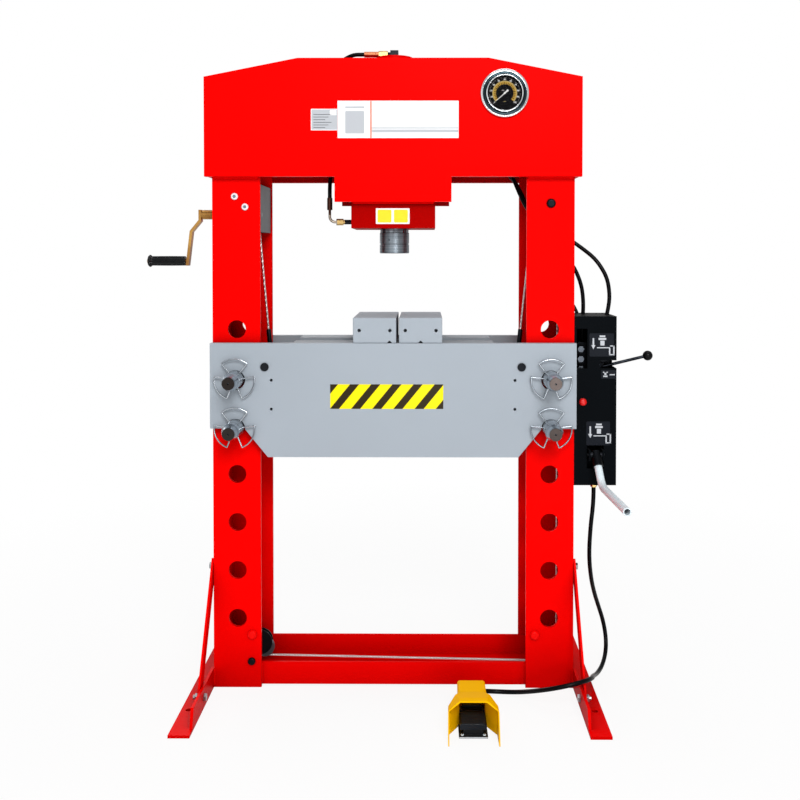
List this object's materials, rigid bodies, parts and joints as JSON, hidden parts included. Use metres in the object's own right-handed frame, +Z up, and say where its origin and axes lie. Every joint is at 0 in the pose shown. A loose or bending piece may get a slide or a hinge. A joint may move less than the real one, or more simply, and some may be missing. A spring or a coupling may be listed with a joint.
{
  "type": "hydraulic press",
  "caption": "Workshop hydraulic press: a red H frame with a vertical ram, a pinned table lifted by a crank and ropes, a side box with pump handle and valve lever, a gauge and a foot pedal.",
  "frame": {"origin": "on the floor, in the middle of the H frame, at the centre of the four anchor holes", "axes": "+Z up along the ram, +X to the right of someone in front of the press, +Y towards the back; the operator's side faces -Y"},
  "size_m": [1.483, 0.929, 1.867],
  "materials": {
    "red_paint": "gloss",
    "table_paint": "satin",
    "black_paint": "satin",
    "yellow_paint": "satin",
    "bare_steel": "brushed",
    "machined_steel": "machined",
    "zinc": "zinc plated",
    "passivated": "yellow passivated zinc",
    "hose_rubber": "matte",
    "seal_rubber": "matte",
    "wire_rope": "stranded",
    "black_plastic": "matte",
    "red_plastic": "gloss",
    "dial": "printed",
    "white_paint": "satin",
    "glass": "clear"
  },
  "bodies": {
    "frame": {"braces": "red_paint", "control_box": "black_paint", "cylinder_barrel": "red_paint", "cylinder_cap": "red_paint", "cylinder_collar": "red_paint", "cylinder_gland": "machined_steel", "frame_bolts": "zinc", "front_tie": "red_paint", "gauge_case": "black_paint", "gauge_dial": "dial", "gauge_glass": "glass", "gauge_hose": "hose_rubber", "head_end_plates": "red_paint", "head_front_plate": "red_paint", "head_rear_plate": "red_paint", "head_webs": "red_paint", "left_column": "red_paint", "left_foot": "red_paint", "lifting_rope_left": "wire_rope", "lifting_rope_right": "wire_rope", "lower_hose": "hose_rubber", "oil_cap": "red_plastic", "pedal_base": "black_plastic", "pedal_guard": "yellow_paint", "pedal_hose": "hose_rubber", "port_fittings": "zinc", "pulley_axles": "black_paint", "pump_unit": "black_paint", "rear_tie": "red_paint", "release_valve": "machined_steel", "right_column": "red_paint", "right_foot": "red_paint", "top_hose": "hose_rubber", "winch_housing": "zinc"},
    "ram": {"piston": "bare_steel", "piston_seal": "seal_rubber", "ram_rod": "bare_steel", "press_head": "machined_steel"},
    "table": {"table_front_plate": "table_paint", "table_rear_plate": "table_paint", "table_cross_bars": "table_paint", "press_block_left": "table_paint", "press_block_right": "table_paint", "table_rope_ends": "machined_steel"},
    "pin_left_lower": {"pin_left_lower": "zinc"},
    "pin_left_upper": {"pin_left_upper": "zinc"},
    "pin_right_lower": {"pin_right_lower": "zinc"},
    "pin_right_upper": {"pin_right_upper": "zinc"},
    "crank": {"crank_arm": "passivated", "winch_worm": "machined_steel"},
    "grip": {"crank_grip": "black_plastic"},
    "drum": {"winch_drum": "machined_steel"},
    "lower_left_wheel": {"lower_left_pulley": "machined_steel"},
    "lower_right_wheel": {"lower_right_pulley": "machined_steel"},
    "upper_right_wheel": {"upper_right_pulley": "machined_steel"},
    "valve_lever": {"release_lever": "zinc"},
    "pump_lever": {"pump_handle": "zinc", "pump_socket": "machined_steel"},
    "treadle": {"pedal_treadle": "zinc"},
    "needle": {"gauge_needle": "white_paint"}
  },
  "joints": [
    {"name": "ram_slide", "type": "slide", "parent": "frame", "child": "ram", "axis": [0, 0, -1], "range_m": [0, 0.15]},
    {"name": "table_lift", "type": "slide", "parent": "frame", "child": "table", "axis": [0, 0, 1], "range_m": [0, 0.005], "deforming": ["lifting_rope_left", "lifting_rope_right"]},
    {"name": "crank_turn", "type": "hinge", "parent": "frame", "child": "crank", "pos_m": [-0.53, -0.06, 1.376], "axis": [1, 0, 0], "continuous": true},
    {"name": "grip_spin", "type": "hinge", "parent": "crank", "child": "grip", "pos_m": [-0.66, -0.06, 1.24], "axis": [1, 0, 0], "continuous": true},
    {"name": "drum_turn", "type": "hinge", "parent": "frame", "child": "drum", "pos_m": [-0.442, 0, 1.411], "axis": [0, 1, 0], "continuous": true},
    {"name": "lower_left_turn", "type": "hinge", "parent": "frame", "child": "lower_left_wheel", "pos_m": [-0.396, 0.033, 0.059], "axis": [0, 1, 0], "continuous": true},
    {"name": "lower_right_turn", "type": "hinge", "parent": "frame", "child": "lower_right_wheel", "pos_m": [0.464, -0.011, 0.059], "axis": [0, 1, 0], "continuous": true},
    {"name": "upper_right_turn", "type": "hinge", "parent": "frame", "child": "upper_right_wheel", "pos_m": [0.454, -0.011, 1.4065], "axis": [0, 1, 0], "continuous": true},
    {"name": "valve_lever_turn", "type": "hinge", "parent": "frame", "child": "valve_lever", "pos_m": [0.6, -0.085, 0.932], "axis": [0, 0, 1], "range_deg": [-65, 12]},
    {"name": "pump_stroke", "type": "hinge", "parent": "frame", "child": "pump_lever", "pos_m": [0.584, -0.135, 0.682], "axis": [1, 0, 0], "range_deg": [-50, 0]},
    {"name": "treadle_tip", "type": "hinge", "parent": "frame", "child": "treadle", "pos_m": [0.218, -0.35, 0.032], "axis": [1, 0, 0], "range_deg": [0, 9], "stiffness_Nm_per_rad": 3, "springref_deg": -22.92},
    {"name": "needle_turn", "type": "hinge", "parent": "frame", "child": "needle", "pos_m": [0.318, -0.153, 1.718], "axis": [0, 1, 0], "range_deg": [0, 264], "stiffness_Nm_per_rad": 0.002, "springref_deg": -22.92},
    {"name": "pin_left_lower_pull", "type": "slide", "parent": "frame", "child": "pin_left_lower", "axis": [0, -1, 0], "range_m": [0, 0.36]},
    {"name": "pin_left_upper_pull", "type": "slide", "parent": "frame", "child": "pin_left_upper", "axis": [0, -1, 0], "range_m": [0, 0.36]},
    {"name": "pin_right_lower_pull", "type": "slide", "parent": "frame", "child": "pin_right_lower", "axis": [0, -1, 0], "range_m": [0, 0.36]},
    {"name": "pin_right_upper_pull", "type": "slide", "parent": "frame", "child": "pin_right_upper", "axis": [0, -1, 0], "range_m": [0, 0.36]}
  ],
  "couplings": [
    {"joint": "drum_turn", "follows": "crank_turn", "ratio": 0.05},
    {"joint": "lower_left_turn", "follows": "crank_turn", "ratio": -0.060417},
    {"joint": "lower_right_turn", "follows": "crank_turn", "ratio": -0.060417},
    {"joint": "upper_right_turn", "follows": "crank_turn", "ratio": -0.042647}
  ]
}
